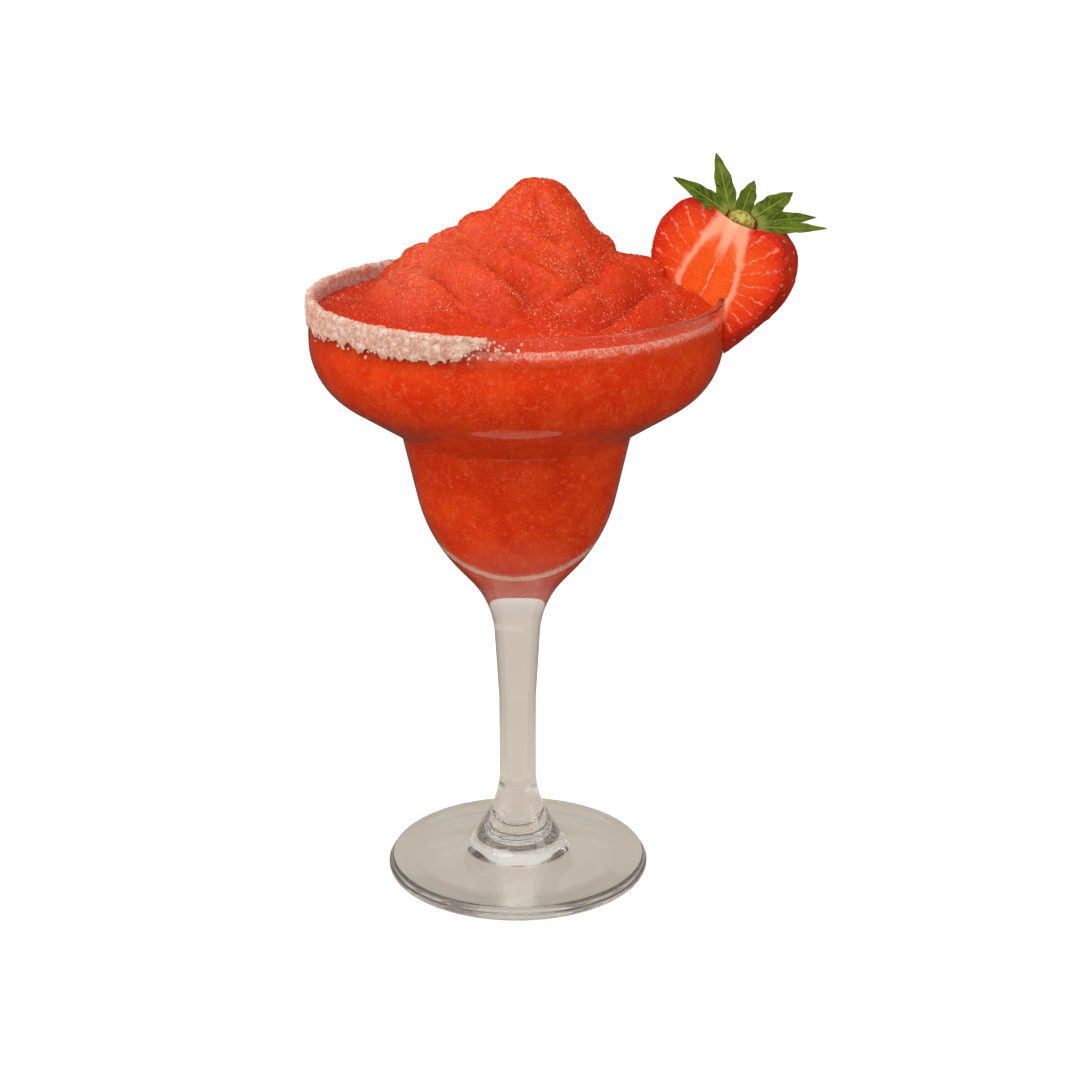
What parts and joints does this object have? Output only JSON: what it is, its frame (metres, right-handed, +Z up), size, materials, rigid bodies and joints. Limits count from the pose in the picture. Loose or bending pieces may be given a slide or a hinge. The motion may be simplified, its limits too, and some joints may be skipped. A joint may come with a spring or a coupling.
{
  "type": "frozen margarita",
  "caption": "Red frozen drink heaped in a stepped stem glass, with salt on half of the rim and a sliced strawberry hooked over it.",
  "frame": {"origin": "middle of the foot's flat underside", "axes": "+Z up along the stem, +X towards the strawberry, -Y the side that the strawberry's cut face looks to"},
  "size_m": [0.1401, 0.1124, 0.2054],
  "materials": {
    "clear_glass": "clear, glossy",
    "slush": "wet granular ice",
    "salt": "coarse grains",
    "berry": "moist fruit",
    "calyx": "soft matte leaf"
  },
  "bodies": {
    "root": {"glass": "clear_glass", "frozen_drink": "slush", "rim_salt": "salt", "strawberry": "berry", "calyx_cap": "calyx", "sepal_1": "calyx", "sepal_2": "calyx", "sepal_3": "calyx", "sepal_4": "calyx", "sepal_5": "calyx", "sepal_6": "calyx"}
  },
  "joints": []
}
